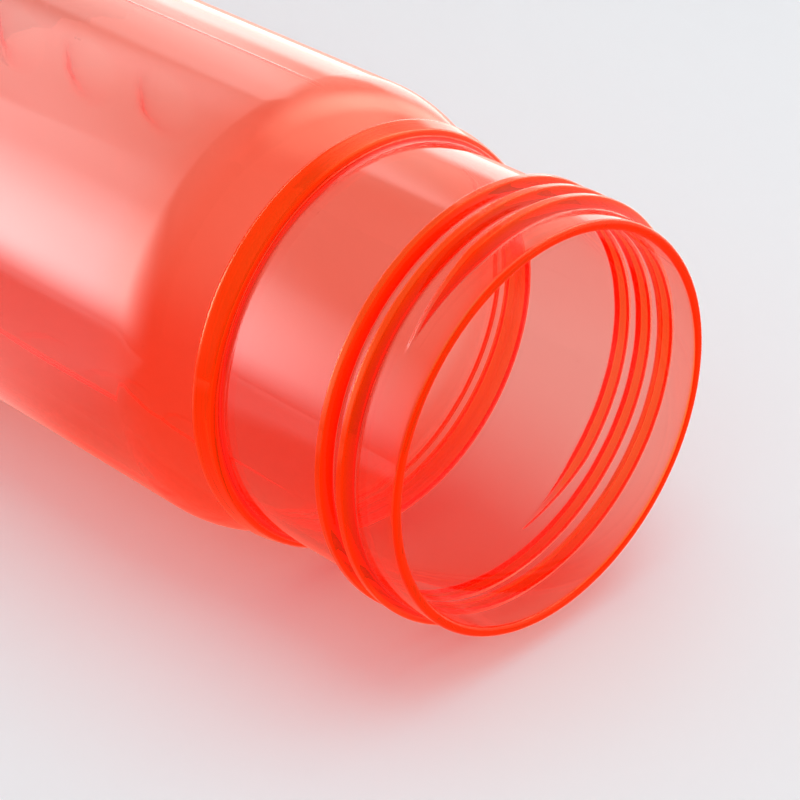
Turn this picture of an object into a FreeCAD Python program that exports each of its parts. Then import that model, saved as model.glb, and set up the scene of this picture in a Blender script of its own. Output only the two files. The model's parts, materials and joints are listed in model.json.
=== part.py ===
"""Wide-mouth plastic water bottle, blown in one piece, open at the mouth.

Millimetres. +Z runs up the axis of the bottle, the origin is the centre of the
base, and the bottle stands on its foot ring with the mouth up.
"""
import FreeCAD, Part
import math
import os

# Overall sizes
BOTTLE_HEIGHT = 225.0
BODY_DIAMETER = 70.0
BODY_WALL = 1.2

# Neck: a plain round tube that carries the thread and the support ring
NECK_DIAMETER = 60.8
NECK_WALL = 1.5
LIP_BEVEL = 0.5

# Support ring at the foot of the neck: how far it stands out, a little less at its top edge
RING_REACH = 2.4
RING_DROP = 34.0
RING_THICKNESS = 4.2
RING_TAPER = 0.5
RING_EDGE_BEVEL = 0.5
RING_ROOT_BEVEL = 0.4

# Shoulder: one convex arc from the body up to the short neck under the ring
SHOULDER_RADIUS = 17.0
NECK_BELOW_RING = 1.2
SHOULDER_ROOT_BEVEL = 0.6

# Screw thread: one start, right-handed, its two ends fading into the neck, where
# the crest keeps the tip share of its width
THREAD_HEIGHT = 1.6
THREAD_PITCH = 4.1
THREAD_TURNS = 2.58
THREAD_DROP = 5.2
THREAD_AZIMUTH = -92.0
THREAD_CREST_WIDTH = 1.2
THREAD_ROOT_WIDTH = 2.9
THREAD_FADE_ANGLE = 28.0
THREAD_TIP_SHARE = 0.3
THREAD_STEP_ANGLE = 12.0

# Finger dimples, one row up the side
DIMPLE_COUNT = 3
DIMPLE_DIAMETER = 13.0
DIMPLE_DEPTH = 2.4
DIMPLE_PITCH = 20.5
DIMPLE_HEIGHT = 60.5
DIMPLE_AZIMUTH = 124.0
DIMPLE_EDGE_ROUND = 1.6

# Base: rounded corner, flat foot ring and a shallow push-up with a flat centre
BASE_CORNER_RADIUS = 6.0
FOOT_WIDTH = 5.0
PUSH_UP = 4.0
PUSH_UP_FLAT_DIAMETER = 26.0

# How far a form that is fused or cut runs on past the face that it meets
OVERRUN = 0.5

AXIS = FreeCAD.Vector(0, 0, 1)
ORIGIN = FreeCAD.Vector(0, 0, 0)

BODY_RADIUS = BODY_DIAMETER / 2
NECK_RADIUS = NECK_DIAMETER / 2
RING_RADIUS = NECK_RADIUS + RING_REACH
BORE_RADIUS = NECK_RADIUS - NECK_WALL
RING_TOP = BOTTLE_HEIGHT - RING_DROP
RING_BOTTOM = RING_TOP - RING_THICKNESS
NECK_BOTTOM = RING_BOTTOM - NECK_BELOW_RING


def point(radius, height):
    """A point of a section through the axis."""
    return FreeCAD.Vector(radius, 0, height)


def on_circle(centre, radius, angle):
    """The point of a circle in the section at an angle above the horizontal."""
    return centre + FreeCAD.Vector(radius * math.cos(angle), 0, radius * math.sin(angle))


def line(start, end):
    return Part.LineSegment(start, end).toShape()


def arc(start, middle, end):
    return Part.Arc(start, middle, end).toShape()


def shoulder_angle(radius, top_radius, side_radius):
    """How far round its circle the shoulder runs, from the side to top_radius."""
    return math.acos((top_radius - (side_radius - radius)) / radius)


def base_section(floor_height, corner):
    """Section edges of the base at a height, from the axis out to the corner."""
    flat_radius = PUSH_UP_FLAT_DIAMETER / 2
    foot_inner = BODY_RADIUS - BASE_CORNER_RADIUS - FOOT_WIDTH
    top_height = floor_height + PUSH_UP
    return [
        line(point(0, top_height), point(flat_radius, top_height)),
        line(point(flat_radius, top_height), point(foot_inner, floor_height)),
        line(point(foot_inner, floor_height), corner),
    ]


def shoulder_section(side_radius, shoulder, top_radius):
    """The convex arc of the shoulder, and the point of the side where it starts."""
    angle = shoulder_angle(shoulder, top_radius, side_radius)
    start = point(side_radius, NECK_BOTTOM - shoulder * math.sin(angle))
    centre = start - point(shoulder, 0)
    return start, arc(start, on_circle(centre, shoulder, angle / 2), point(top_radius, NECK_BOTTOM))


def revolved(edges):
    """The solid that a closed section makes when it is turned about the axis."""
    face = Part.Face(Part.Wire(Part.__sortEdges__(edges)))
    return face.revolve(ORIGIN, AXIS, 360)


def drawn_edges(solid):
    """The edges of a solid without the ones that shrink to a point on the axis."""
    return [edge for edge in solid.Edges if not edge.Degenerated]


def circles_at(solid, radius, height):
    """The edges of a solid that are circles about the axis at this radius and height."""
    found = []
    for edge in drawn_edges(solid):
        if not isinstance(edge.Curve, Part.Circle):
            continue
        centre = edge.Curve.Center
        on_axis = math.hypot(centre.x, centre.y) < 1e-6
        if on_axis and abs(edge.Curve.Radius - radius) < 1e-6 and abs(centre.z - height) < 1e-6:
            found.append(edge)
    return found


def press_dimples(solid, wall):
    """Cut the row of dimples, with the ball grown by the wall for the inner form."""
    edge_radius = DIMPLE_DIAMETER / 2
    ball_radius = (edge_radius ** 2 + DIMPLE_DEPTH ** 2) / (2 * DIMPLE_DEPTH)
    reach = BODY_RADIUS - DIMPLE_DEPTH + ball_radius
    direction = math.radians(DIMPLE_AZIMUTH)
    for number in range(DIMPLE_COUNT):
        height = DIMPLE_HEIGHT + number * DIMPLE_PITCH
        centre = FreeCAD.Vector(reach * math.cos(direction), reach * math.sin(direction), height)
        solid = solid.cut(Part.makeSphere(ball_radius + wall, centre))
    mouths = []
    for edge in drawn_edges(solid):
        if edge.BoundBox.ZLength > DIMPLE_DEPTH and not isinstance(edge.Curve, (Part.Circle, Part.Line)):
            mouths.append(edge)
    return solid.makeFillet(DIMPLE_EDGE_ROUND, mouths)


def outer_form():
    """The outside of the bottle without its thread: body, shoulder, ring and neck."""
    foot_outer = point(BODY_RADIUS - BASE_CORNER_RADIUS, 0)
    corner_centre = foot_outer + point(0, BASE_CORNER_RADIUS)
    side_low = corner_centre + point(BASE_CORNER_RADIUS, 0)
    side_high, shoulder = shoulder_section(BODY_RADIUS, SHOULDER_RADIUS, NECK_RADIUS)
    edges = base_section(0, foot_outer)
    edges.append(arc(foot_outer, on_circle(corner_centre, BASE_CORNER_RADIUS, -math.pi / 4), side_low))
    edges.append(line(side_low, side_high))
    edges.append(shoulder)
    ring_top_radius = RING_RADIUS - RING_TAPER
    corners = [
        point(NECK_RADIUS, NECK_BOTTOM),
        point(NECK_RADIUS, RING_BOTTOM),
        point(RING_RADIUS, RING_BOTTOM),
        point(ring_top_radius, RING_TOP),
        point(NECK_RADIUS, RING_TOP),
        point(NECK_RADIUS, BOTTLE_HEIGHT),
        point(0, BOTTLE_HEIGHT),
        point(0, PUSH_UP),
    ]
    for start, end in zip(corners, corners[1:]):
        edges.append(line(start, end))
    solid = press_dimples(revolved(edges), 0)
    solid = solid.makeChamfer(RING_ROOT_BEVEL, circles_at(solid, NECK_RADIUS, RING_TOP))
    solid = solid.makeChamfer(SHOULDER_ROOT_BEVEL, circles_at(solid, NECK_RADIUS, NECK_BOTTOM))
    ring_edges = circles_at(solid, RING_RADIUS, RING_BOTTOM) + circles_at(solid, ring_top_radius, RING_TOP)
    return solid.makeChamfer(RING_EDGE_BEVEL, ring_edges)


def inner_form():
    """The hollow of the bottle, open past the rim.

    Its lower corner is one flat that keeps the wall at the middle of the round outside.
    """
    side_radius = BODY_RADIUS - BODY_WALL
    bevel = (BASE_CORNER_RADIUS - BODY_WALL) * (2 - math.sqrt(2))
    corner_low = point(side_radius - bevel, BODY_WALL)
    corner_high = point(side_radius, BODY_WALL + bevel)
    side_high, shoulder = shoulder_section(side_radius, SHOULDER_RADIUS - BODY_WALL, BORE_RADIUS)
    edges = base_section(BODY_WALL, corner_low)
    edges.append(shoulder)
    mouth = BOTTLE_HEIGHT + OVERRUN
    edges.append(line(corner_low, corner_high))
    edges.append(line(corner_high, side_high))
    edges.append(line(point(BORE_RADIUS, NECK_BOTTOM), point(BORE_RADIUS, mouth)))
    edges.append(line(point(BORE_RADIUS, mouth), point(0, mouth)))
    edges.append(line(point(0, mouth), point(0, BODY_WALL + PUSH_UP)))
    solid = press_dimples(revolved(edges), BODY_WALL)
    return solid.makeChamfer(SHOULDER_ROOT_BEVEL, circles_at(solid, BORE_RADIUS, NECK_BOTTOM))


def thread_section(turned):
    """One section of the ridge, turned by an angle from the start, as a closed wire.

    The ridge narrows and sinks below the neck over the fade angle at both ends.
    """
    total = THREAD_TURNS * 360
    fade = min(1.0, turned / THREAD_FADE_ANGLE, (total - turned) / THREAD_FADE_ANGLE)
    sunk = NECK_RADIUS - OVERRUN
    crest = sunk + OVERRUN / 2 + (THREAD_HEIGHT + OVERRUN / 2) * fade
    slope = (THREAD_ROOT_WIDTH - THREAD_CREST_WIDTH) / 2 / THREAD_HEIGHT
    half_crest = THREAD_CREST_WIDTH / 2 * (THREAD_TIP_SHARE + (1 - THREAD_TIP_SHARE) * fade)
    half_sunk = half_crest + slope * (crest - sunk)
    middle = BOTTLE_HEIGHT - THREAD_DROP - THREAD_PITCH * turned / 360
    direction = math.radians(THREAD_AZIMUTH - turned)
    out = FreeCAD.Vector(math.cos(direction), math.sin(direction), 0)
    corners = [(sunk, -half_sunk), (crest, -half_crest), (crest, half_crest), (sunk, half_sunk)]
    points = [out * radius + AXIS * (middle + rise) for radius, rise in corners]
    return Part.makePolygon(points + points[:1])


def thread():
    """The ridge of the thread, lofted through its sections from the mouth down."""
    total = THREAD_TURNS * 360
    count = math.ceil(total / THREAD_STEP_ANGLE)
    sections = [thread_section(total * number / count) for number in range(count + 1)]
    return Part.makeLoft(sections, True, False)


def bottle():
    """The whole bottle as one solid."""
    solid = outer_form().fuse(thread()).cut(inner_form())
    lip = circles_at(solid, NECK_RADIUS, BOTTLE_HEIGHT) + circles_at(solid, BORE_RADIUS, BOTTLE_HEIGHT)
    return solid.makeChamfer(LIP_BEVEL, lip)


def main():
    os.makedirs("parts", exist_ok=True)
    bottle().exportStep("parts/bottle.step")


main()
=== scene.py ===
"""Wide-mouth water bottle of clear red plastic: its moulded wall, finish, stage, light and camera.

Metres, in the frame of the CAD model: +Z is the axis of the bottle, the foot stands on z = 0 and
the mouth is up. The camera sees the bottle from the side of its mouth, rolled so that it seems to lie.
"""

import json
import logging
import math
from dataclasses import dataclass, field
from enum import Enum

import bpy
from mathutils import Matrix, Vector


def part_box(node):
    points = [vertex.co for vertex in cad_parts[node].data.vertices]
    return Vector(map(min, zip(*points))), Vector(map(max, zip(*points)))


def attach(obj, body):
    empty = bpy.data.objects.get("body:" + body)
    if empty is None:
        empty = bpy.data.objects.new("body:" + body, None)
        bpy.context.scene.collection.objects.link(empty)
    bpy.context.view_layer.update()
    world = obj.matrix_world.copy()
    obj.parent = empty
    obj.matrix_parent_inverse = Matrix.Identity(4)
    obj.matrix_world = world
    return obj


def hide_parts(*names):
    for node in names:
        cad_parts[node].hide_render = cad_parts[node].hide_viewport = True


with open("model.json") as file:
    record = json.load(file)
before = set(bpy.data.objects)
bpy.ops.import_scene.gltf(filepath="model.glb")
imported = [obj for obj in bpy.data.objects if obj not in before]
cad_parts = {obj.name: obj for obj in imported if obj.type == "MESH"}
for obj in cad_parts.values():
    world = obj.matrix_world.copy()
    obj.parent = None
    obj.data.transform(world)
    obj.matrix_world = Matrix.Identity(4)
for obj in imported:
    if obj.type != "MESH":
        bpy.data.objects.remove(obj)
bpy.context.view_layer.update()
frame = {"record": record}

MM = 0.001
LOG = logging.getLogger("bottle")

Value = bpy.types.NodeSocket | float | int | tuple[float, ...]


class WallSide(Enum):
    """The face of the wall that a point of its section is on."""

    OUTER = 0.0
    INNER = 1.0


class Ray(Enum):
    """The kinds of ray that a surface of the stage lets through."""

    SHADOW = "Is Shadow Ray"
    DIFFUSE = "Is Diffuse Ray"
    GLOSSY = "Is Glossy Ray"
    THROUGH = "Is Transmission Ray"


def mirrored(w: "NodeWriter") -> bpy.types.NodeSocket:
    """1 for a ray that a gloss has thrown back, and 0 for one that has come through the clear wall."""
    path = w.add("ShaderNodeLightPath").outputs
    return w.math("GREATER_THAN", w.math("SUBTRACT", path[Ray.GLOSSY.value], path[Ray.THROUGH.value]), 0.5)


@dataclass
class NodeWriter:
    """Adds nodes to one tree, each with its values and links in one call."""

    tree: bpy.types.NodeTree

    def feed(self, socket: bpy.types.NodeSocket, value: Value) -> None:
        """Links or sets one input.

        Args:
            socket: The input.
            value: An output to link, or a plain value to set.
        """
        if isinstance(value, bpy.types.NodeSocket):
            self.tree.links.new(value, socket)
        else:
            socket.default_value = value

    def add(self, kind: str, inputs: dict[str | int, Value] | None = None, **settings: object) -> bpy.types.Node:
        """Adds one node.

        Args:
            kind: The node's type name.
            inputs: Values or links by input name or number.
            **settings: Properties of the node.

        Returns:
            The new node.
        """
        node = self.tree.nodes.new(kind)
        for name, setting in settings.items():
            setattr(node, name, setting)
        for key, value in (inputs or {}).items():
            self.feed(node.inputs[key], value)
        return node

    def math(self, operation: str, *values: Value) -> bpy.types.NodeSocket:
        """One Math node.

        Args:
            operation: The Math node's operation.
            *values: Its inputs in order.

        Returns:
            Its output.
        """
        return self.add("ShaderNodeMath", dict(enumerate(values)), operation=operation).outputs[0]

    def clamp(self, value: Value, low: Value, high: Value) -> bpy.types.NodeSocket:
        """A value held between two others."""
        return self.math("MINIMUM", self.math("MAXIMUM", value, low), high)


def interface(tree: bpy.types.NodeTree, inputs: dict[str, tuple[str, object]], outputs: dict[str, str]) -> None:
    """Gives a node group its named sockets.

    Args:
        tree: The group.
        inputs: Kind of socket and first value by input name.
        outputs: Kind of socket by output name.
    """
    for name, (kind, value) in inputs.items():
        socket = tree.interface.new_socket(name=name, in_out="INPUT", socket_type=kind)
        if value is not None:
            socket.default_value = value
    for name, kind in outputs.items():
        tree.interface.new_socket(name=name, in_out="OUTPUT", socket_type=kind)


@dataclass(frozen=True)
class Corner:
    """A corner of the wall section, rounded by an arc, and the straight run that leaves it."""

    radius: float
    height: float
    round: float = 0.0
    steps: int = 6
    run: int = 1

    @property
    def place(self) -> Vector:
        """The corner as a point of the section."""
        return Vector((self.radius, self.height))


def corner_arc(before: Vector, corner: Corner, after: Vector) -> list[Vector]:
    """The points of a rounded corner.

    Args:
        before: The corner before it.
        corner: The corner to round.
        after: The corner after it.

    Returns:
        The points from one tangent point to the other, or the corner alone if it is sharp.
    """
    here = corner.place
    if corner.round == 0:
        return [here]
    back = (before - here).normalized()
    ahead = (after - here).normalized()
    half = back.angle(ahead) / 2
    centre = here + (back + ahead).normalized() * corner.round / math.sin(half)
    start = here + back * corner.round / math.tan(half) - centre
    turn = (math.pi - 2 * half) * math.copysign(1, back.x * ahead.y - back.y * ahead.x) * -1
    points = []
    for step in range(corner.steps + 1):
        angle = turn * step / corner.steps
        points.append(centre + Matrix.Rotation(angle, 2) @ start)
    return points


def rounded_line(corners: list[Corner], hold: float) -> list[Vector]:
    """A line through rounded corners, with its straight runs divided.

    Args:
        corners: The corners in order. The two ends stay sharp.
        hold: How near to its ends a divided run has a point, which keeps the arcs' shading off it.

    Returns:
        The points of the line.
    """
    points = [corners[0].place]
    for number in range(1, len(corners)):
        corner = corners[number]
        if number + 1 < len(corners):
            arc = corner_arc(corners[number - 1].place, corner, corners[number + 1].place)
        else:
            arc = [corner.place]
        start = points[-1]
        run = arc[0] - start
        shares = [step / corners[number - 1].run for step in range(1, corners[number - 1].run)]
        if run.length > 4 * hold:
            near = hold / run.length
            shares = [near] + [share for share in shares if near < share < 1 - near] + [1 - near]
        points += [start + run * share for share in shares]
        points += arc
    return points


@dataclass
class ScrewThread:
    """One right-handed ridge round the neck, its ends fading into the wall."""

    height: float = 1.6 * MM
    crest_width: float = 1.2 * MM
    root_width: float = 2.9 * MM
    pitch: float = 4.1 * MM
    turns: float = 2.58
    drop: float = 5.2 * MM
    azimuth: float = math.radians(-92)
    fade: float = 28 / 360
    tip_share: float = 0.3
    edge_round: float = 0.45 * MM

    def settings(self, rim: float) -> dict[str, float]:
        """The ridge's values by input name of the wall's tree.

        Args:
            rim: The height of the rim.

        Returns:
            The values.
        """
        return {
            "Thread Height": self.height,
            "Thread Crest": self.crest_width,
            "Thread Flank": (self.root_width - self.crest_width) / 2,
            "Thread Pitch": self.pitch,
            "Thread Turns": self.turns,
            "Thread Start": rim - self.drop,
            "Thread Azimuth": self.azimuth,
            "Thread Fade": self.fade,
            "Thread Tip": self.tip_share,
            "Thread Round": self.edge_round,
        }

    def radius_field(self, w: NodeWriter, given: bpy.types.Node, angle: Value, level: Value) -> bpy.types.NodeSocket:
        """How far the ridge stands out at each point of the neck.

        Args:
            w: Writes the tree.
            given: The tree's input node.
            angle: The point's angle about the axis.
            level: The point's height.

        Returns:
            The ridge's height there.
        """
        g = given.outputs
        behind = w.math("DIVIDE", w.math("SUBTRACT", g["Thread Azimuth"], angle), 2 * math.pi)
        share = w.math("FRACT", behind)
        depth = w.math("DIVIDE", w.math("SUBTRACT", g["Thread Start"], level), g["Thread Pitch"])
        turned = w.math("ADD", share, w.math("ROUND", w.math("SUBTRACT", depth, share)))
        left = w.math("SUBTRACT", g["Thread Turns"], turned)
        fade = w.clamp(w.math("DIVIDE", w.math("MINIMUM", turned, left), g["Thread Fade"]), 0.0, 1.0)
        off = w.math("ABSOLUTE", w.math("MULTIPLY", w.math("SUBTRACT", depth, turned), g["Thread Pitch"]))
        rest = w.math("MULTIPLY", w.math("SUBTRACT", 1.0, g["Thread Tip"]), fade)
        half = w.math("MULTIPLY", w.math("MULTIPLY", g["Thread Crest"], 0.5), w.math("ADD", g["Thread Tip"], rest))
        top = w.math("MULTIPLY", g["Thread Height"], fade)
        slope = w.math("DIVIDE", g["Thread Height"], g["Thread Flank"])
        flank = w.math("MULTIPLY_ADD", w.math("SUBTRACT", half, off), slope, top)
        soft = w.math("MULTIPLY", g["Thread Round"], fade)
        ridge = w.math("SMOOTH_MIN", flank, top, soft)
        return w.math("SMOOTH_MAX", ridge, 0.0, soft)


@dataclass
class FingerDimples:
    """A row of round dimples up the side, pressed by one ball into both faces of the wall."""

    count: int = 3
    diameter: float = 13 * MM
    depth: float = 2.0 * MM
    pitch: float = 20.5 * MM
    lowest: float = 60.5 * MM
    azimuth: float = math.radians(126.5)
    edge_round: float = 2.0 * MM

    def settings(self, body_radius: float, wall: float) -> dict[str, float]:
        """The dimples' values by input name of the wall's tree.

        Args:
            body_radius: The radius of the body outside.
            wall: The thickness of its wall.

        Returns:
            The values.
        """
        ball = ((self.diameter / 2) ** 2 + self.depth**2) / (2 * self.depth)
        return {
            "Dimple Count": float(self.count),
            "Dimple Ball": ball,
            "Dimple Reach": body_radius - self.depth + ball,
            "Dimple Pitch": self.pitch,
            "Dimple Lowest": self.lowest,
            "Dimple Azimuth": self.azimuth,
            "Dimple Round": self.edge_round,
            "Wall": wall,
        }

    def radius_field(
        self, w: NodeWriter, given: bpy.types.Node, angle: Value, level: Value, radius: Value, inner: Value
    ) -> bpy.types.NodeSocket:
        """The radius of the wall where the dimples are pressed into it.

        Args:
            w: Writes the tree.
            given: The tree's input node.
            angle: The point's angle about the axis.
            level: The point's height.
            radius: The point's distance from the axis.
            inner: 1 on the inner face and 0 on the outer.

        Returns:
            The new distance from the axis.
        """
        g = given.outputs
        steps = w.math("ROUND", w.math("DIVIDE", w.math("SUBTRACT", level, g["Dimple Lowest"]), g["Dimple Pitch"]))
        number = w.clamp(steps, 0.0, w.math("SUBTRACT", g["Dimple Count"], 1.0))
        centre = w.math("MULTIPLY_ADD", number, g["Dimple Pitch"], g["Dimple Lowest"])
        rise = w.math("SUBTRACT", level, centre)
        turn = w.math("SUBTRACT", angle, g["Dimple Azimuth"])
        aside = w.math("MULTIPLY", g["Dimple Reach"], w.math("SINE", turn))
        ahead = w.math("MULTIPLY", g["Dimple Reach"], w.math("COSINE", turn))
        ball = w.math("MULTIPLY_ADD", inner, g["Wall"], g["Dimple Ball"])
        spread = w.math("MULTIPLY_ADD", rise, rise, w.math("MULTIPLY", aside, aside))
        inside = w.math("SUBTRACT", w.math("MULTIPLY", ball, ball), spread)
        pressed = w.math("SUBTRACT", ahead, w.math("SQRT", w.math("MAXIMUM", inside, 0.0)))
        touched = w.math("MULTIPLY", w.math("GREATER_THAN", inside, 0.0), w.math("GREATER_THAN", ahead, 0.0))
        dimple = w.math("SMOOTH_MIN", radius, pressed, g["Dimple Round"])
        return w.math("MULTIPLY_ADD", touched, w.math("SUBTRACT", dimple, radius), radius)


@dataclass
class MouldedWall:
    """The whole bottle: one wall from the base over the shoulder and ring to the lip, and back inside."""

    height: float
    body_radius: float
    bore_radius: float
    body_wall: float = 1.2 * MM
    neck_wall: float = 1.5 * MM
    lip_round: float = 0.5 * MM
    ring_reach: float = 2.4 * MM
    ring_drop: float = 34 * MM
    ring_thickness: float = 4.2 * MM
    ring_taper: float = 0.9 * MM
    ring_edge_round: float = 0.9 * MM
    ring_root_round: float = 0.8 * MM
    neck_below_ring: float = 1.2 * MM
    shoulder_radius: float = 17 * MM
    shoulder_root: float = 0.6 * MM
    shoulder_root_round: float = 1.4 * MM
    shoulder_stock: float = 0.4
    base_corner: float = 6 * MM
    foot_width: float = 5 * MM
    push_up: float = 4 * MM
    push_up_flat: float = 13 * MM
    base_round: float = 2 * MM
    hold: float = 0.25 * MM
    columns: int = 216
    ripple: float = 0.05 * MM
    ripple_length: float = 22 * MM
    thread: ScrewThread = field(default_factory=ScrewThread)
    dimples: FingerDimples = field(default_factory=FingerDimples)

    @property
    def neck_radius(self) -> float:
        """The radius of the neck outside."""
        return self.bore_radius + self.neck_wall

    @property
    def ring_top(self) -> float:
        """The height of the upper face of the support ring."""
        return self.height - self.ring_drop

    @property
    def neck_bottom(self) -> float:
        """The height where the neck meets the shoulder."""
        return self.ring_top - self.ring_thickness - self.neck_below_ring

    def shoulder(self, side: float, round_radius: float, top: float) -> tuple[Corner, Corner]:
        """The two corners that the shoulder's arc and its root run through.

        Args:
            side: The radius of the body's side.
            round_radius: The radius of the shoulder's arc.
            top: The radius of the neck above it.

        Returns:
            The shoulder's corner and the corner at the foot of the neck.
        """
        reach = math.hypot(round_radius, self.shoulder_root)
        turn = math.acos((top - side + round_radius) / reach) - math.atan(self.shoulder_root / round_radius)
        climb = round_radius * math.sin(turn) + self.shoulder_root * math.cos(turn)
        body_top = self.neck_bottom - climb
        corner = Corner(side, body_top + round_radius * math.tan(turn / 2), round_radius, 18)
        root = Corner(top, self.neck_bottom, self.shoulder_root_round, 5)
        return corner, root

    def body_run(self, side: float, low: float, high: float) -> list[Corner]:
        """Points up the body's side, close together where the dimples are.

        Args:
            side: The radius of the side.
            low: The lowest height of the side.
            high: The highest.

        Returns:
            The corners at both ends of the dimpled stretch, in order.
        """
        margin = self.dimples.diameter
        start = self.dimples.lowest - margin
        end = self.dimples.lowest + (self.dimples.count - 1) * self.dimples.pitch + margin
        rows = round((end - start) / (1.2 * MM))
        lower = Corner(side, start, run=rows)
        upper = Corner(side, end, run=8)
        return [lower, upper] if low < start and end < high else []

    def outer_corners(self) -> list[Corner]:
        """The corners of the outer face, from the centre of the base to the lip."""
        foot = self.body_radius - self.base_corner
        ring_bottom = self.ring_top - self.ring_thickness
        ring = self.neck_radius + self.ring_reach
        shoulder, root = self.shoulder(self.body_radius, self.shoulder_radius, self.neck_radius)
        thread_low = self.height - self.thread.drop - (self.thread.turns + 0.5) * self.thread.pitch
        thread_high = self.height - self.thread.drop + 0.5 * self.thread.pitch
        rows = round((thread_high - thread_low) / (0.135 * MM))
        return [
            Corner(0, self.push_up, run=3),
            Corner(self.push_up_flat, self.push_up, self.base_round, 4, 3),
            Corner(foot - self.foot_width, 0, self.base_round, 4, 2),
            Corner(self.body_radius, 0, self.base_corner, 12, 6),
            *self.body_run(self.body_radius, self.base_corner, shoulder.height),
            shoulder,
            root,
            Corner(self.neck_radius, ring_bottom, 0.4 * MM, 6),
            Corner(ring, ring_bottom, self.ring_edge_round, 9, 3),
            Corner(ring - self.ring_taper, self.ring_top, self.ring_edge_round, 9),
            Corner(self.neck_radius, self.ring_top, self.ring_root_round, 6, 3),
            Corner(self.neck_radius, thread_low, run=rows),
            Corner(self.neck_radius, thread_high, run=2),
            Corner(self.neck_radius, self.height, self.lip_round, 6),
        ]

    def inner_corners(self) -> list[Corner]:
        """The corners of the inner face, from the lip to the centre of the base."""
        side = self.body_radius - self.body_wall
        foot = self.body_radius - self.base_corner
        shoulder, root = self.shoulder(side, self.shoulder_radius - self.body_wall, self.bore_radius)
        rising = self.body_run(side, self.base_corner, shoulder.height)
        falling = [Corner(c.radius, c.height, run=run) for c, run in zip(reversed(rising), (rising[0].run, 6))]
        floor = self.body_wall
        return [
            Corner(self.bore_radius, self.height, self.lip_round, 6, 6),
            root,
            Corner(shoulder.radius, shoulder.height, shoulder.round, shoulder.steps, 12),
            *falling,
            Corner(side, floor, self.base_corner - self.body_wall, 10, 2),
            Corner(foot - self.foot_width, floor, self.base_round, 4, 3),
            Corner(self.push_up_flat, floor + self.push_up, self.base_round, 4, 3),
            Corner(0, floor + self.push_up),
        ]

    def stock(self, point: Vector) -> float:
        """How much plastic is behind a point of the section: 1 on the support ring and at the lip, less on the shoulder.

        Args:
            point: The point.

        Returns:
            A share from 0 on the plain wall to 1.
        """
        ring_bottom = self.ring_top - self.ring_thickness
        on_ring = point.x > self.neck_radius and ring_bottom - 0.1 * MM < point.y < self.ring_top + 0.1 * MM
        ring = min(1.0, (point.x - self.neck_radius) / (0.6 * self.ring_reach)) if on_ring else 0.0
        lip = 1 - (self.height - point.y) / (2 * self.lip_round)
        below = (self.neck_bottom - point.y) / self.shoulder_radius
        shoulder = self.shoulder_stock * min(1.0, 1.6 * (1 - below)) if point.y < self.ring_top and below > -0.4 else 0.0
        return max(ring, lip, shoulder, 0.0)

    def section(self) -> bpy.types.Object:
        """The wall's section as a line of vertices in the XZ plane, marked by side.

        Returns:
            The object that carries the line.
        """
        outer = self.outer_corners()
        points = rounded_line(outer + self.inner_corners(), self.hold)
        rim = max(range(len(points)), key=lambda number: points[number].y)
        while points[rim + 1].y > self.height - 1e-7:
            rim += 1
        mesh = bpy.data.meshes.new("bottle_section")
        edges = [(number, number + 1) for number in range(len(points) - 1)]
        mesh.from_pydata([(point.x, 0, point.y) for point in points], edges, [])
        side = mesh.attributes.new("side", "FLOAT", "POINT")
        stock = mesh.attributes.new("stock", "FLOAT", "POINT")
        for number, point in enumerate(points):
            side.data[number].value = (WallSide.OUTER if number <= rim else WallSide.INNER).value
            stock.data[number].value = self.stock(point)
        piece = bpy.data.objects.new("bottle_wall", mesh)
        bpy.context.scene.collection.objects.link(piece)
        LOG.info("section of %d points", len(points))
        return piece

    def tree(self, material: bpy.types.Material) -> bpy.types.NodeTree:
        """The Geometry Nodes that turn the section about the axis and form thread, dimples and ripple.

        Args:
            material: The finish of the wall. Not used.

        Returns:
            The tree.
        """
        tree = bpy.data.node_groups.new("turned_wall", "GeometryNodeTree")
        sizes = {"Columns": float(self.columns), "Bore": self.bore_radius, "Ring Top": self.ring_top}
        sizes |= {"Ripple": self.ripple, "Ripple Length": self.ripple_length}
        sizes |= self.thread.settings(self.height) | self.dimples.settings(self.body_radius, self.body_wall)
        inputs: dict[str, tuple[str, object]] = {"Geometry": ("NodeSocketGeometry", None)}
        inputs |= {name: ("NodeSocketFloat", value) for name, value in sizes.items()}
        inputs |= {"Seed": ("NodeSocketFloat", 4.0), "Material": ("NodeSocketMaterial", None)}
        interface(tree, inputs, {"Geometry": "NodeSocketGeometry"})
        w = NodeWriter(tree)
        given = w.add("NodeGroupInput")
        g = given.outputs
        rows = w.add("GeometryNodeAttributeDomainSize", {"Geometry": g["Geometry"]}).outputs["Point Count"]
        around = w.math("ADD", g["Columns"], 1.0)
        grid = w.add("GeometryNodeMeshGrid", {"Size X": 1.0, "Size Y": 1.0, "Vertices X": around, "Vertices Y": rows})
        index = w.add("GeometryNodeInputIndex").outputs[0]
        column = w.math("FLOOR", w.math("DIVIDE", w.math("ADD", index, 0.5), rows))
        row = w.math("ROUND", w.math("SUBTRACT", index, w.math("MULTIPLY", column, rows)))
        place = w.add("GeometryNodeInputPosition").outputs[0]
        drawn = w.add("GeometryNodeSampleIndex", data_type="FLOAT_VECTOR")
        w.feed(drawn.inputs["Geometry"], g["Geometry"])
        w.feed(drawn.inputs["Value"], place)
        w.feed(drawn.inputs["Index"], row)
        inner = self.mark_at_row(w, given, row, "side")
        stock = self.mark_at_row(w, given, row, "stock")
        line = w.add("ShaderNodeSeparateXYZ", {0: drawn.outputs["Value"]}).outputs
        angle = w.math("MULTIPLY", w.math("DIVIDE", column, g["Columns"]), 2 * math.pi)
        radius, level = line["X"], line["Z"]
        on_neck = w.math("MULTIPLY", w.math("GREATER_THAN", level, g["Ring Top"]), w.math("SUBTRACT", 1.0, inner))
        on_neck = w.math("MULTIPLY", on_neck, w.math("GREATER_THAN", radius, g["Bore"]))
        ridge = self.thread.radius_field(w, given, angle, level)
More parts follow.
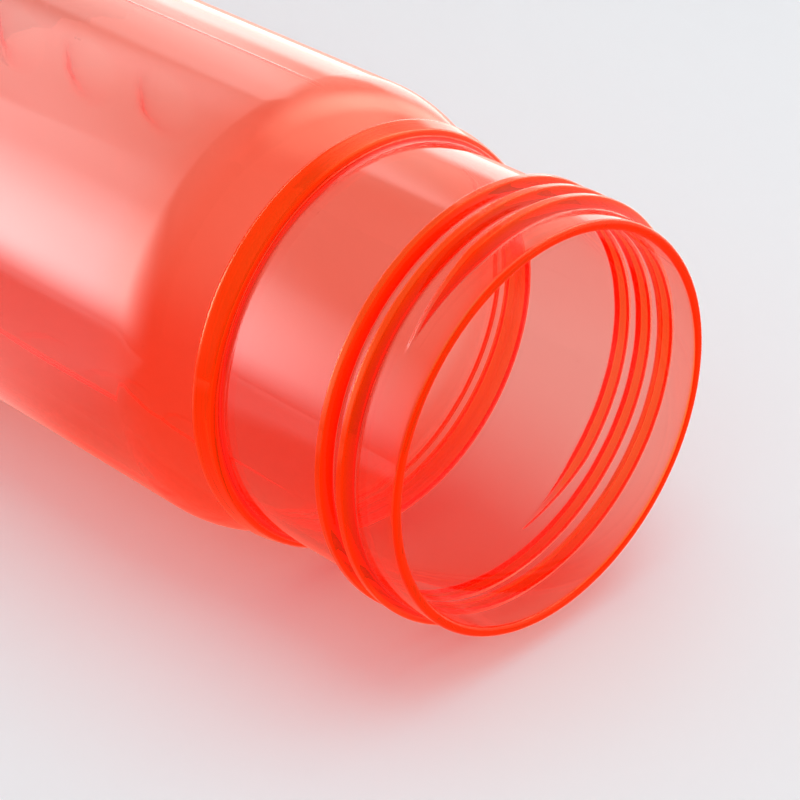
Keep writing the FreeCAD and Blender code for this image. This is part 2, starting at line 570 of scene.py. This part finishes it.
        threaded = w.math("MULTIPLY_ADD", on_neck, ridge, radius)
        dimpled = self.dimples.radius_field(w, given, angle, level, threaded, inner)
        out = w.math("ADD", dimpled, self.ripple_field(w, given, angle, level, radius, inner))
        across = w.math("MULTIPLY", out, w.math("COSINE", angle))
        along = w.math("MULTIPLY", out, w.math("SINE", angle))
        turned = w.add("ShaderNodeCombineXYZ", {"X": across, "Y": along, "Z": level}).outputs[0]
        formed = w.add("GeometryNodeSetPosition", {"Geometry": grid.outputs["Mesh"], "Position": turned})
        thick = w.math("MAXIMUM", stock, w.math("MULTIPLY", on_neck, w.math("DIVIDE", ridge, g["Thread Height"])))
        stored = w.add("GeometryNodeStoreNamedAttribute", {"Name": "stock"}, data_type="FLOAT", domain="POINT")
        w.feed(stored.inputs["Geometry"], formed.outputs[0])
        w.feed(stored.inputs["Value"], thick)
        closed = w.add("GeometryNodeMergeByDistance", {"Geometry": stored.outputs[0], "Distance": 1e-6})
        smooth = w.add("GeometryNodeSetShadeSmooth", {"Geometry": closed.outputs[0], "Shade Smooth": True})
        real = w.add("GeometryNodeRealizeInstances", {"Geometry": smooth.outputs[0]})
        dressed = w.add("GeometryNodeSetMaterial", {"Geometry": real.outputs[0], "Material": g["Material"]})
        w.add("NodeGroupOutput", {"Geometry": dressed.outputs[0]})
        return tree

    @staticmethod
    def mark_at_row(
        w: NodeWriter, given: bpy.types.Node, row: Value, name: str
    ) -> bpy.types.NodeSocket:
        """One of the section's marks at each point of the turned wall.

        Args:
            w: Writes the tree.
            given: The tree's input node.
            row: The number of the section's point.
            name: The mark's name.

        Returns:
            The mark's value.
        """
        named = w.add("GeometryNodeInputNamedAttribute", {"Name": name}, data_type="FLOAT")
        marked = w.add("GeometryNodeSampleIndex", data_type="FLOAT")
        w.feed(marked.inputs["Geometry"], given.outputs["Geometry"])
        w.feed(marked.inputs["Value"], named.outputs["Attribute"])
        w.feed(marked.inputs["Index"], row)
        return marked.outputs["Value"]

    def ripple_field(
        self, w: NodeWriter, given: bpy.types.Node, angle: Value, level: Value, radius: Value, inner: Value
    ) -> bpy.types.NodeSocket:
        """The slow unevenness that blowing leaves on the inner face of the body.

        Args:
            w: Writes the tree.
            given: The tree's input node.
            angle: The point's angle about the axis.
            level: The point's height.
            radius: The point's distance from the axis.
            inner: 1 on the inner face and 0 on the outer.

        Returns:
            How much the radius changes there.
        """
        g = given.outputs
        size = w.math("DIVIDE", 1.0, g["Ripple Length"])
        across = w.math("MULTIPLY", radius, w.math("COSINE", angle))
        along = w.math("MULTIPLY", radius, w.math("SINE", angle))
        place = w.add("ShaderNodeCombineXYZ", {"X": across, "Y": along, "Z": w.math("MULTIPLY", level, 0.45)})
        noise = w.add("ShaderNodeTexNoise", {"Vector": place.outputs[0], "Detail": 1.5}, noise_dimensions="4D")
        w.feed(noise.inputs["Scale"], size)
        w.feed(noise.inputs["W"], g["Seed"])
        uneven = w.math("SUBTRACT", noise.outputs[0], 0.5)
        body = w.math("LESS_THAN", level, g["Ring Top"])
        wide = w.math("GREATER_THAN", radius, g["Bore"])
        where = w.math("MULTIPLY", w.math("MULTIPLY", body, wide), inner)
        return w.math("MULTIPLY", w.math("MULTIPLY", uneven, w.math("MULTIPLY", g["Ripple"], 2.0)), where)

    def build(self, material: bpy.types.Material) -> bpy.types.Object:
        """Makes the bottle as one closed mesh and puts it in the place of its CAD node.

        Args:
            material: The finish of the wall.

        Returns:
            The piece.
        """
        source = self.section()
        tree = self.tree(material)
        modifier = source.modifiers.new("wall", "NODES")
        modifier.node_group = tree
        for item in tree.interface.items_tree:
            if item.item_type == "SOCKET" and item.in_out == "INPUT" and item.name == "Material":
                modifier[item.identifier] = material
        graph = bpy.context.evaluated_depsgraph_get()
        mesh = bpy.data.meshes.new_from_object(source.evaluated_get(graph), depsgraph=graph)
        source.modifiers.remove(modifier)
        piece = bpy.data.objects.new("bottle_shell", mesh)
        bpy.context.scene.collection.objects.link(piece)
        bpy.data.objects.remove(source)
        self.face_outwards(mesh)
        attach(piece, "root")
        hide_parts("bottle")
        return piece

    @staticmethod
    def face_outwards(mesh: bpy.types.Mesh) -> None:
        """Turns the faces of a closed mesh over if they enclose a negative volume."""
        mesh.calc_loop_triangles()
        volume = 0.0
        for triangle in mesh.loop_triangles:
            a, b, c = (mesh.vertices[number].co for number in triangle.vertices)
            volume += a.dot(b.cross(c)) / 6
        if volume < 0:
            mesh.flip_normals()
        LOG.info("wall of %d triangles and %.1f cm3", len(mesh.loop_triangles), abs(volume) * 1e6)


@dataclass(frozen=True)
class BlowStreaks:
    """Streaks that the blown wall keeps along its length, as a node group."""

    across: float = 6 * MM
    stretch: float = 0.09
    fine_share: float = 0.4

    def group(self) -> bpy.types.NodeTree:
        """Makes the group.

        Returns:
            A group with a Vector and a Reach above which the wall is plain, and the streaks' Height.
        """
        tree = bpy.data.node_groups.new("blow_streaks", "ShaderNodeTree")
        inputs = {"Vector": ("NodeSocketVector", None), "Reach": ("NodeSocketFloat", 0.2)}
        interface(tree, inputs, {"Height": "NodeSocketFloat"})
        w = NodeWriter(tree)
        given = w.add("NodeGroupInput").outputs
        laid = w.add("ShaderNodeMapping", {"Vector": given["Vector"], "Scale": (1, 1, self.stretch)}).outputs[0]
        broad = w.add("ShaderNodeTexNoise", {"Vector": laid, "Scale": 0.5 / self.across, "Detail": 0.0}).outputs[0]
        fine = w.add("ShaderNodeTexNoise", {"Vector": laid, "Scale": 1.6 / self.across, "Detail": 0.0}).outputs[0]
        level = w.add("ShaderNodeSeparateXYZ", {0: given["Vector"]}).outputs["Z"]
        blown = w.add("ShaderNodeMapRange", {"Value": level, "From Min": given["Reach"], "To Min": 0.45, "To Max": 1.0})
        w.feed(blown.inputs["From Max"], w.math("SUBTRACT", given["Reach"], 10 * MM))
        height = w.math("MULTIPLY", w.math("MULTIPLY_ADD", fine, self.fine_share, broad), blown.outputs[0])
        w.add("NodeGroupOutput", {"Height": height})
        return tree


@dataclass(frozen=True)
class MouldSeam:
    """The two fine lines where the mould's halves met, as a node group."""

    azimuth: float = math.radians(35)
    half_width: float = 0.22 * MM
    end: float = 14 * MM

    def group(self) -> bpy.types.NodeTree:
        """Makes the group.

        Returns:
            A group with a Vector, a Reach that the seam ends under, and its Line, 1 on the seam and 0 off it.
        """
        tree = bpy.data.node_groups.new("mould_seam", "ShaderNodeTree")
        inputs = {"Vector": ("NodeSocketVector", None), "Reach": ("NodeSocketFloat", 0.2)}
        interface(tree, inputs, {"Line": "NodeSocketFloat"})
        w = NodeWriter(tree)
        given = w.add("NodeGroupInput").outputs
        place = w.add("ShaderNodeSeparateXYZ", {0: given["Vector"]}).outputs
        aside = w.math("MULTIPLY", place["X"], math.sin(self.azimuth))
        off = w.math("ABSOLUTE", w.math("MULTIPLY_ADD", place["Y"], -math.cos(self.azimuth), aside))
        line = w.add("ShaderNodeMapRange", {"Value": off, "From Max": self.half_width, "To Min": 1.0, "To Max": 0.0})
        line.interpolation_type = "SMOOTHSTEP"
        room = w.math("DIVIDE", w.math("SUBTRACT", given["Reach"], place["Z"]), self.end)
        w.add("NodeGroupOutput", {"Line": w.math("MULTIPLY", line.outputs[0], w.clamp(w.math("SUBTRACT", room, 1.0), 0, 1))})
        return tree


@dataclass(frozen=True)
class HandlingMarks:
    """Hairline scratches and specks of dust that handling leaves, as a node group."""

    scratch_cell: float = 19 * MM
    scratch_width: float = 0.008
    speck_cell: float = 9 * MM
    speck_size: float = 0.018

    def group(self) -> bpy.types.NodeTree:
        """Makes the group.

        Returns:
            A group with a Vector, and masks for the Scratch and the Speck.
        """
        tree = bpy.data.node_groups.new("handling_marks", "ShaderNodeTree")
        outputs = {"Scratch": "NodeSocketFloat", "Speck": "NodeSocketFloat"}
        interface(tree, {"Vector": ("NodeSocketVector", None)}, outputs)
        w = NodeWriter(tree)
        place = w.add("NodeGroupInput").outputs["Vector"]
        cells = w.add("ShaderNodeTexVoronoi", {"Vector": place, "Scale": 1 / self.scratch_cell})
        cells.feature = "DISTANCE_TO_EDGE"
        near = w.add("ShaderNodeMapRange", {"Value": cells.outputs[0], "From Max": self.scratch_width, "To Min": 1.0})
        near.inputs["To Max"].default_value = 0.0
        spread = {"Vector": place, "Scale": 1.3 / self.scratch_cell, "Detail": 0.0}
        patch = w.add("ShaderNodeTexNoise", spread).outputs[0]
        some = w.add("ShaderNodeMapRange", {"Value": patch, "From Min": 0.56, "From Max": 0.64}).outputs[0]
        scratch = w.math("MULTIPLY", near.outputs[0], some)
        dots = w.add("ShaderNodeTexVoronoi", {"Vector": place, "Scale": 1 / self.speck_cell})
        speck = w.add("ShaderNodeMapRange", {"Value": dots.outputs["Distance"], "From Max": self.speck_size})
        speck.inputs["To Min"].default_value = 1.0
        speck.inputs["To Max"].default_value = 0.0
        w.add("NodeGroupOutput", {"Scratch": scratch, "Speck": speck.outputs[0]})
        return tree


@dataclass(frozen=True)
class ClearPlastic:
    """Glossy tinted plastic: pale where it is thin and deep red along edges and ridges, with a painted red glow that is
    stronger on thick parts and on rays trapped in the wall.
    """

    name: str = "clear_red_plastic"
    kept: tuple[float, float, float] = (0.99, 0.56, 0.50)
    shoulder: tuple[float, float, float] = (1.0, 0.6, 0.54)
    shoulder_at: float = 0.4
    thick: tuple[float, float, float] = (1.0, 0.52, 0.06)
    thick_from: float = 0.7
    dust: tuple[float, float, float] = (0.30, 0.10, 0.08)
    # Painted glow: a faint red emission on the thin wall, a stronger one where stock marks thick plastic, and a deep
    # red one on rays still inside the wall after trapped_after bounces.
    glow: tuple[float, float, float] = (0.02, 0.001, 0.0)
    thick_glow: tuple[float, float, float] = (0.12, 0.02, 0.0)
    trapped_glow: tuple[float, float, float] = (0.9, 0.02, 0.0)
    trapped_after: int = 8
    index: float = 1.57
    roughness: float = 0.0
    thick_shine: tuple[float, float, float] = (1.0, 0.45, 0.1)
    scratched_roughness: float = 0.16
    streak_depth: float = 0.1 * MM
    seam_height: float = 0.07 * MM
    streaks: BlowStreaks = BlowStreaks()
    seam: MouldSeam = MouldSeam()
    marks: HandlingMarks = HandlingMarks()

    def normal(self, w: NodeWriter, place: Value, neck: float) -> bpy.types.NodeSocket:
        """The surface's normal with its streaks and seam.

        Args:
            w: Writes the material.
            place: The point's place.
            neck: The height above which the wall is moulded, not blown.

        Returns:
            The normal.
        """
        streaks = w.add("ShaderNodeGroup", node_tree=self.streaks.group())
        w.feed(streaks.inputs["Vector"], place)
        streaks.inputs["Reach"].default_value = neck
        seam = w.add("ShaderNodeGroup", node_tree=self.seam.group())
        w.feed(seam.inputs["Vector"], place)
        seam.inputs["Reach"].default_value = neck
        height = w.math("MULTIPLY", streaks.outputs["Height"], self.streak_depth / MM)
        height = w.math("MULTIPLY_ADD", seam.outputs["Line"], self.seam_height / MM, height)
        return w.add("ShaderNodeBump", {"Height": height, "Strength": 1.0, "Distance": MM}).outputs[0]

    def build(self, neck: float) -> bpy.types.Material:
        """Makes the material.

        Args:
            neck: The height above which the wall is moulded, not blown.

        Returns:
            The material, with its tint in the volume.
        """
        material = bpy.data.materials.new(self.name)
        material.use_nodes = True
        tree = material.node_tree
        tree.nodes.clear()
        w = NodeWriter(tree)
        place = w.add("ShaderNodeTexCoord").outputs["Object"]
        marks = w.add("ShaderNodeGroup", node_tree=self.marks.group())
        w.feed(marks.inputs["Vector"], place)
        stock = w.add("ShaderNodeAttribute", attribute_name="stock").outputs["Fac"]
        plastic = w.add("ShaderNodeBsdfPrincipled")
        tint = w.add("ShaderNodeValToRGB", {"Fac": stock})
        stops = tint.color_ramp.elements
        stops[0].color = (1, 1, 1, 1)
        stops[1].color = (*self.thick, 1)
        stops.new(self.shoulder_at).color = (*self.shoulder, 1)
        stops[2].position = self.thick_from
        dusty = w.add("ShaderNodeMix", {"Factor": marks.outputs["Speck"], 7: (*self.dust, 1)}, data_type="RGBA")
        w.feed(dusty.inputs[6], tint.outputs["Color"])
        w.feed(plastic.inputs["Base Color"], dusty.outputs[2])
        rough = w.math("MULTIPLY_ADD", marks.outputs["Scratch"], self.scratched_roughness - self.roughness, self.roughness)
        shine = w.add("ShaderNodeMix", {"Factor": stock, 6: (1, 1, 1, 1), 7: (*self.thick_shine, 1)}, data_type="RGBA")
        w.feed(plastic.inputs["Specular Tint"], shine.outputs[2])
        w.feed(plastic.inputs["Roughness"], rough)
        w.feed(plastic.inputs["Normal"], self.normal(w, place, neck))
        path = w.add("ShaderNodeLightPath").outputs
        # Painted glow: red emission from the wall itself, stronger on thick plastic and deep red on rays trapped past
        # trapped_after bounces.
        glow = w.add("ShaderNodeMix", {"Factor": stock, 6: (*self.glow, 1), 7: (*self.thick_glow, 1)}, data_type="RGBA")
        trapped = w.math("GREATER_THAN", path["Ray Depth"], self.trapped_after)
        deep = w.add("ShaderNodeMix", {"Factor": trapped, 7: (*self.trapped_glow, 1)}, data_type="RGBA")
        w.feed(deep.inputs[6], glow.outputs[2])
        w.feed(plastic.inputs["Emission Color"], deep.outputs[2])
        plastic.inputs["Emission Strength"].default_value = 1.0
        plastic.inputs["IOR"].default_value = self.index
        plastic.inputs["Transmission Weight"].default_value = 1.0
        passed = w.math("MAXIMUM", path[Ray.SHADOW.value], path[Ray.DIFFUSE.value])
        clear = w.add("ShaderNodeBsdfTransparent")
        surface = w.add("ShaderNodeMixShader", {0: passed, 1: plastic.outputs[0], 2: clear.outputs[0]})
        lost = [-math.log(share) / MM for share in self.kept]
        density = max(lost) / 0.97
        colour = tuple(1 - part / density for part in lost) + (1.0,)
        volume = w.add("ShaderNodeVolumeAbsorption", {"Color": colour, "Density": density})
        w.add("ShaderNodeOutputMaterial", {"Surface": surface.outputs[0], "Volume": volume.outputs[0]})
        material.cycles.emission_sampling = "NONE"
        return material


@dataclass(frozen=True)
class StudioPaper:
    """Plain matt white stage surface, which some rays pass."""

    name: str
    color: tuple[float, float, float]
    passing: tuple[Ray, ...] = ()
    one_sided: bool = False

    def build(self) -> bpy.types.Material:
        """Makes the material.

        Returns:
            The material.
        """
        material = bpy.data.materials.new(self.name)
        material.use_nodes = True
        tree = material.node_tree
        tree.nodes.clear()
        w = NodeWriter(tree)
        paper = w.add("ShaderNodeBsdfPrincipled", {"Base Color": (*self.color, 1), "Roughness": 0.9})
        paper.inputs["Specular IOR Level"].default_value = 0.0
        path = w.add("ShaderNodeLightPath").outputs
        passed: Value = 0.0
        for ray in self.passing:
            passed = w.math("MAXIMUM", passed, mirrored(w) if ray is Ray.GLOSSY else path[ray.value])
        if self.one_sided:
            passed = w.math("MAXIMUM", passed, w.add("ShaderNodeNewGeometry").outputs["Backfacing"])
        clear = w.add("ShaderNodeBsdfTransparent")
        surface = w.add("ShaderNodeMixShader", {0: passed, 1: paper.outputs[0], 2: clear.outputs[0]})
        w.add("ShaderNodeOutputMaterial", {"Surface": surface.outputs[0]})
        return material


@dataclass
class LyingFrame:
    """The directions of the photograph's table, on which the bottle lies with its side."""

    side_azimuth: float = math.radians(41.8)
    side_radius: float = 35 * MM
    rim: float = 225 * MM

    @property
    def up(self) -> Vector:
        """Away from the table."""
        return -Vector((math.cos(self.side_azimuth), math.sin(self.side_azimuth), 0))

    @property
    def aside(self) -> Vector:
        """Across the table, towards the camera."""
        return Vector((0, 0, 1)).cross(self.up)

    def turned(self, direction: tuple[float, float, float]) -> Vector:
        """A direction given by its parts up, along and aside."""
        return self.up * direction[0] + Vector((0, 0, direction[1])) + self.aside * direction[2]

    def place(self, up: float, along: float, aside: float) -> Vector:
        """A point by its height over the table and its place along and across it from the rim.

        Args:
            up: Height over the table.
            along: Along the axis from the rim, positive out of the mouth.
            aside: Across the table from the axis, positive towards the camera.

        Returns:
            The point.
        """
        axis = Vector((0, 0, self.rim + along))
        return axis + self.up * (up - self.side_radius) + self.aside * aside


@dataclass
class Stage:
    """The floor that the bottle stands on and the one-sided backdrop that it lies against in the photograph."""

    lying: LyingFrame
    reach: float = 4.0

    def sheet(self, name: str, corners: list[Vector], finish: StudioPaper) -> bpy.types.Object:
        """One flat sheet of the stage.

        Args:
            name: Its name.
            corners: Its four corners, anticlockwise from the side that shows.
            finish: Its finish.

        Returns:
            The sheet.
        """
        mesh = bpy.data.meshes.new(name)
        mesh.from_pydata(corners, [], [(0, 1, 2, 3)])
        mesh.materials.append(finish.build())
        piece = bpy.data.objects.new(name, mesh)
        bpy.context.scene.collection.objects.link(piece)
        return piece

    def build(self) -> None:
        """Makes the floor and the backdrop."""
        reach = self.reach
        flat = [Vector((x * reach, y * reach, 0)) for x, y in ((-1, -1), (1, -1), (1, 1), (-1, 1))]
        passing = (Ray.GLOSSY, Ray.SHADOW)
        self.sheet("floor", flat, StudioPaper("floor_paper", (0.84, 0.84, 0.85), passing))
        middle = self.lying.place(0, 0, 0)
        across = self.lying.aside * reach
        along = Vector((0, 0, reach))
        wall = [middle - along - across, middle - along + across, middle + along + across, middle + along - across]
        if (wall[1] - wall[0]).cross(wall[3] - wall[0]).dot(self.lying.up) < 0:
            wall.reverse()
        paper = StudioPaper("backdrop_paper", (0.88, 0.899, 0.914), passing, True)
        self.sheet("backdrop", wall, paper)


@dataclass
class SoftBox:
    """One rectangular lamp, placed over the photograph's table and turned to a target."""

    name: str
    place: Vector
    target: Vector
    up: Vector
    size: tuple[float, float]
    power: float
    on_paper: bool = False
    through: bool = False
    fade: tuple[float, float, float, float] = (0.0, 0.0, 0.0, 0.0)
    tops: tuple[float, float] = (1.0, 1.0)

    def soften(self, lamp: bpy.types.Light) -> None:
        """Lets the lamp's face grow dim towards its edges.

        Args:
            lamp: The lamp. Its fade is the share of the face over which each edge dims, in the order
                foot end, mouth end, bottom and top. Its tops are where the lit part ends at the foot end
                and at the mouth end, as shares of the face's height.
        """
        lamp.use_nodes = True
        w = NodeWriter(lamp.node_tree)
        face = w.add("ShaderNodeSeparateXYZ", {0: w.add("ShaderNodeNewGeometry").outputs["Parametric"]}).outputs
        foot, mouth = self.tops
        top = w.clamp(w.math("MULTIPLY_ADD", face["X"], mouth - foot, foot), 0.0, 1.0)
        edges = ((face["X"], 0.0, self.fade[0]), (face["X"], 1.0, 1 - self.fade[1]))
        edges += ((face["Y"], 0.0, self.fade[2]), (face["Y"], top, 1 - self.fade[3]))
        strength: Value = 1.0
        for across, dark, lit in edges:
            rise = w.add("ShaderNodeMapRange", {"Value": across, "From Min": dark, "From Max": lit})
            rise.interpolation_type = "SMOOTHSTEP"
            strength = w.math("MULTIPLY", strength, rise.outputs[0])
        w.feed(lamp.node_tree.nodes["Emission"].inputs["Strength"], strength)

    def build(self) -> bpy.types.Object:
        """Makes the lamp.

        Returns:
            The lamp.
        """
        lamp = bpy.data.lights.new(self.name, "AREA")
        lamp.shape = "RECTANGLE"
        lamp.size, lamp.size_y = self.size
        lamp.energy = self.power
        if max(self.fade) > 0:
            self.soften(lamp)
        piece = bpy.data.objects.new(self.name, lamp)
        back = (self.place - self.target).normalized()
        along = (Vector((0, 0, 1)) - back * back.z).normalized()
        if back.cross(along).dot(self.up) < 0:
            along = -along
        turn = Matrix((along, back.cross(along), back)).transposed()
        piece.matrix_world = Matrix.Translation(self.place) @ turn.to_4x4()
        piece.visible_camera = False
        piece.visible_diffuse = self.on_paper
        piece.visible_glossy = not self.on_paper
        piece.visible_transmission = self.through
        bpy.context.scene.collection.objects.link(piece)
        return piece


@dataclass
class Studio:
    """The lamps and the room round the bottle."""

    lying: LyingFrame
    room: tuple[float, float, float] = (0.97, 0.985, 1.0)
    room_strength: float = 0.7
    near_more: float = 0.4
    room_through: float = 0.85
    shine_below: tuple[float, float, float] = (0.85, 0.22, 0.15)
    shine_above: tuple[float, float, float] = (0.7, 0.5, 0.3)
    wall: tuple[float, float, float] = (1.0, 0.84, 0.72)
    shine_behind: float = 1.0
    shine_strip: float = 2.5
    shine_over: float = 2.0
    over: tuple[float, float, float] = (0.8, 0.05, -0.6)

    @staticmethod
    def part(
        w: NodeWriter, direction: Vector, low: float, high: float, course: str = "SMOOTHSTEP"
    ) -> bpy.types.NodeSocket:
        """How far the way that a ray takes leans in one direction.

        Args:
            w: Writes the world.
            direction: The direction.
            low: The cosine up to which the answer is 0.
            high: The cosine from which it is 1.
            course: How it runs between them.

        Returns:
            The share between them.
        """
        towards = w.add("ShaderNodeTexCoord").outputs["Generated"]
        lean = w.add("ShaderNodeVectorMath", {0: towards, 1: direction}, operation="DOT_PRODUCT").outputs["Value"]
        share = w.add("ShaderNodeMapRange", {"Value": lean, "From Min": low, "From Max": high})
        share.interpolation_type = course
        return share.outputs[0]

    def room_light(self) -> None:
        """Makes the world.

        Paper gets even white light from it, a little more from the near side. Gloss sees a red table below,
        a warm room above, and a white wall with a bright strip behind the bottle.
        """
        world = bpy.data.worlds.new("studio_room")
        world.use_nodes = True
        world.cycles.sampling_method = "NONE"
        w = NodeWriter(world.node_tree)
        path = w.add("ShaderNodeLightPath").outputs
        shine = mirrored(w)
        above = self.part(w, self.lying.up, -0.1, 0.6)
        level = self.part(w, self.lying.up, -0.5, -0.25)
        behind = w.math("MULTIPLY", self.part(w, -self.lying.aside, 0.3, 0.75), level)
        over = w.math("MULTIPLY", self.part(w, self.lying.turned(self.over), 0.79, 0.97), self.shine_over)
        behind = w.math("MULTIPLY_ADD", behind, self.shine_behind, over)
        axis = Vector((0, 0, 1))
        strip = w.math("MULTIPLY", self.part(w, axis, -0.45, -0.22), self.part(w, -axis, -0.02, 0.14))
        strip = w.math("MULTIPLY", strip, self.part(w, -self.lying.aside, 0.1, 1.0))
        behind = w.math("MULTIPLY_ADD", strip, self.shine_strip, behind)
        sides = {"Factor": above, 6: (*self.shine_below, 1), 7: (*self.shine_above, 1)}
        warm = w.add("ShaderNodeMix", sides, data_type="RGBA")
        wall = w.add("ShaderNodeMix", {"Factor": 1.0, 6: (*self.wall, 1), 7: behind}, data_type="RGBA", blend_type="MULTIPLY")
        lit = {"Factor": 1.0, 6: warm.outputs[2], 7: wall.outputs[2]}
        bright = w.add("ShaderNodeMix", lit, data_type="RGBA", blend_type="ADD")
        colour = w.add("ShaderNodeMix", {"Factor": shine, 6: (*self.room, 1), 7: bright.outputs[2]}, data_type="RGBA")
        near = self.part(w, self.lying.aside, -1.0, 1.0, "LINEAR")
        even = w.math("MULTIPLY_ADD", near, 2 * self.near_more * self.room_strength, (1 - self.near_more) * self.room_strength)
        through = w.math("MULTIPLY", path[Ray.THROUGH.value], w.math("SUBTRACT", self.room_through, even))
        plain = w.math("ADD", even, through)
        strength = w.math("MULTIPLY_ADD", shine, w.math("SUBTRACT", 1.0, plain), plain)
        background = world.node_tree.nodes["Background"]
        w.feed(background.inputs["Color"], colour.outputs[2])
        w.feed(background.inputs["Strength"], strength)
        bpy.context.scene.world = world

    def lamp(
        self, name: str, place: tuple[float, float, float], facing: tuple[float, float, float],
        size: tuple[float, float], glare: float, fade: tuple[float, float, float, float],
    ) -> SoftBox:
        """A lamp that shows only in the bottle's gloss and clear wall.

        Args:
            name: Its name.
            place: Height over the table, place along it and across it, in millimetres.
            facing: The direction from the bottle to its middle, likewise.
            size: Its length along the bottle and its other side, in millimetres.
            glare: How bright its face is, where white paper is about 1.
            fade: The shares of its face that its edges take to dim.

        Returns:
            The lamp.
        """
        middle = self.lying.place(*(length * MM for length in place))
        target = middle - self.lying.turned(facing)
        wide, high = (length * MM for length in size)
        power = glare * math.pi * wide * high
        return SoftBox(name, middle, target, self.lying.up, (wide, high), power, fade=fade)

    def build(self) -> None:
        """Makes the world and the lamps."""
        self.room_light()
        overhead = self.lying.place(640 * MM, 0, -105 * MM)
        target = self.lying.place(35 * MM, -50 * MM, 0)
        SoftBox("overhead_box", overhead, target, self.lying.up, (0.6, 0.6), 1.75, on_paper=True).build()
        side = self.lamp("side_card", (214, -310, 150), (0, 0, 1), (500, 412), 8.0, (0.3, 0.32, 0.133, 0.87))
        side.tops = (1.3, 0.27)
        side.build()
        top = self.lamp("top_card", (350, -550, 10), (1, 0, 0), (500, 540), 2.1, (0.2, 0.26, 0.32, 0.32))
        top.through = True
        top.build()
        self.lamp("low_card", (-3, -290, 140), (-1, 0, 0), (410, 280), 0.5, (0.2, 0.1, 0.1, 0.1)).build()
        self.lamp("back_strip", (62, -290, -200), (0, 0, -1), (360, 115), 1.4, (0.1, 0.2, 0.05, 0.3)).build()
        self.lamp("back_card", (210, -410, -200), (0, 0, -1), (380, 300), 1.2, (0.2, 0.25, 0.2, 0.2)).build()


@dataclass
class PhotoCamera:
    """The photograph's view, by the rim's place in its frame of 800 by 800 pixels."""

    rim: Vector
    frame_px: float = 800
    focal_px: float = 2681.9
    distance: float = 363.4 * MM
    lean: float = math.radians(55.02)
    roll: float = math.radians(117.08)
    rim_px: tuple[float, float] = (556.3, 433.1)
    sensor_mm: float = 36

    def axes(self) -> Matrix:
        """The camera's right, up and backward directions as the columns of a rotation.

        Returns:
            The rotation.
        """
        forward = Vector((0, math.sin(self.lean), -math.cos(self.lean)))
        up = (Vector((0, 0, 1)) - forward * forward.z).normalized()
        right = forward.cross(up)
        rolled_right = right * math.cos(self.roll) + up * math.sin(self.roll)
        rolled_up = up * math.cos(self.roll) - right * math.sin(self.roll)
        half = self.frame_px / 2
        aim = Vector(((self.rim_px[0] - half) / self.focal_px, (half - self.rim_px[1]) / self.focal_px, -1))
        turn = Vector((0, 0, -1)).rotation_difference(aim.normalized()).to_matrix()
        to_camera = turn @ Matrix((rolled_right, rolled_up, -forward))
        return to_camera.transposed()

    def build(self) -> bpy.types.Object:
        """Makes the camera and gives it to the scene.

        Returns:
            The camera.
        """
        data = bpy.data.cameras.new("photo_camera")
        data.sensor_width = self.sensor_mm
        data.lens = self.focal_px * self.sensor_mm / self.frame_px
        data.clip_start = 0.01
        camera = bpy.data.objects.new("photo_camera", data)
        place = self.rim + Vector((0, -math.sin(self.lean), math.cos(self.lean))) * self.distance
        camera.matrix_world = Matrix.Translation(place) @ self.axes().to_4x4()
        bpy.context.scene.collection.objects.link(camera)
        bpy.context.scene.camera = camera
        return camera


def set_rendering() -> None:
    """Gives light enough bounces to cross the wall's four faces, and plain colours."""
    scene = bpy.context.scene
    scene.view_settings.view_transform = "Standard"
    scene.cycles.use_light_tree = False
    scene.cycles.max_bounces = 9
    scene.cycles.diffuse_bounces = 2
    scene.cycles.glossy_bounces = 9
    scene.cycles.transmission_bounces = 9
    scene.cycles.transparent_max_bounces = 8


def mount(name: str) -> dict:
    """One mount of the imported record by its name."""
    return next(entry for entry in frame["record"]["mounts"] if entry["name"] == name)


def main() -> None:
    """Builds the bottle, its stage, the studio and the camera in order."""
    logging.basicConfig(level=logging.INFO, format="%(message)s")
    low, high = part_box("bottle")
    bore = mount("mouth_bore")["dims"]["r_mm"] * MM
    wall = MouldedWall(height=high[2] - low[2], body_radius=(high[0] - low[0]) / 2, bore_radius=bore)
    bottle = wall.build(ClearPlastic().build(wall.ring_top))
    LOG.info("bottle: %s", bottle.name)
    lying = LyingFrame(side_radius=wall.body_radius, rim=wall.height)
    Stage(lying).build()
    LOG.info("stage: floor and backdrop")
    Studio(lying).build()
    LOG.info("studio: room and lamps")
    PhotoCamera(rim=Vector((0, 0, wall.height))).build()
    LOG.info("camera: the photograph's view")
    set_rendering()


if __name__ == "__main__":
    main()
